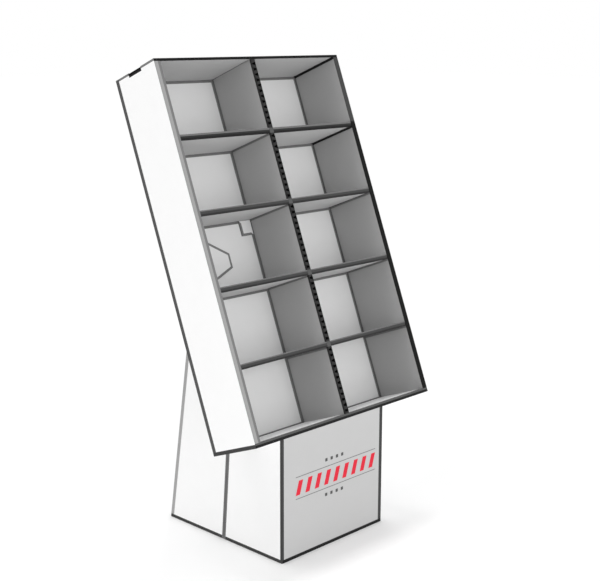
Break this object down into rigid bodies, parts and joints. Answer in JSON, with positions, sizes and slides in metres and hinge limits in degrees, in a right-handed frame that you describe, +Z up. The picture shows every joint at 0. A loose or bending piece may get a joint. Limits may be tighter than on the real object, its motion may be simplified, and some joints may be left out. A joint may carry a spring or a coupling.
{
  "type": "cardboard display stand",
  "caption": "Corrugated floor display: a leaning tray of open cells, two columns wide, resting in the cut-out sides of a narrower tapering base.",
  "frame": {"origin": "on the floor, below the middle of the whole stand's bounding box", "axes": "+Z up, +X to the right of someone who faces the open cells, +Y from the open front to the back"},
  "size_m": [0.676, 0.5242, 1.3057],
  "materials": {
    "base_board": "matte white-faced corrugated board",
    "brace_board": "matte unbleached grey corrugated board",
    "tray_board": "matte white-faced corrugated board, grey inside",
    "heavy_board": "matte grey heavy corrugated board with dark cut edges"
  },
  "bodies": {
    "root": {"base_sleeve": "base_board", "base_brace": "brace_board", "tray_shell": "tray_board", "divider": "heavy_board", "shelf_1": "heavy_board", "shelf_2": "heavy_board", "shelf_3": "heavy_board", "shelf_4": "heavy_board"}
  },
  "joints": []
}
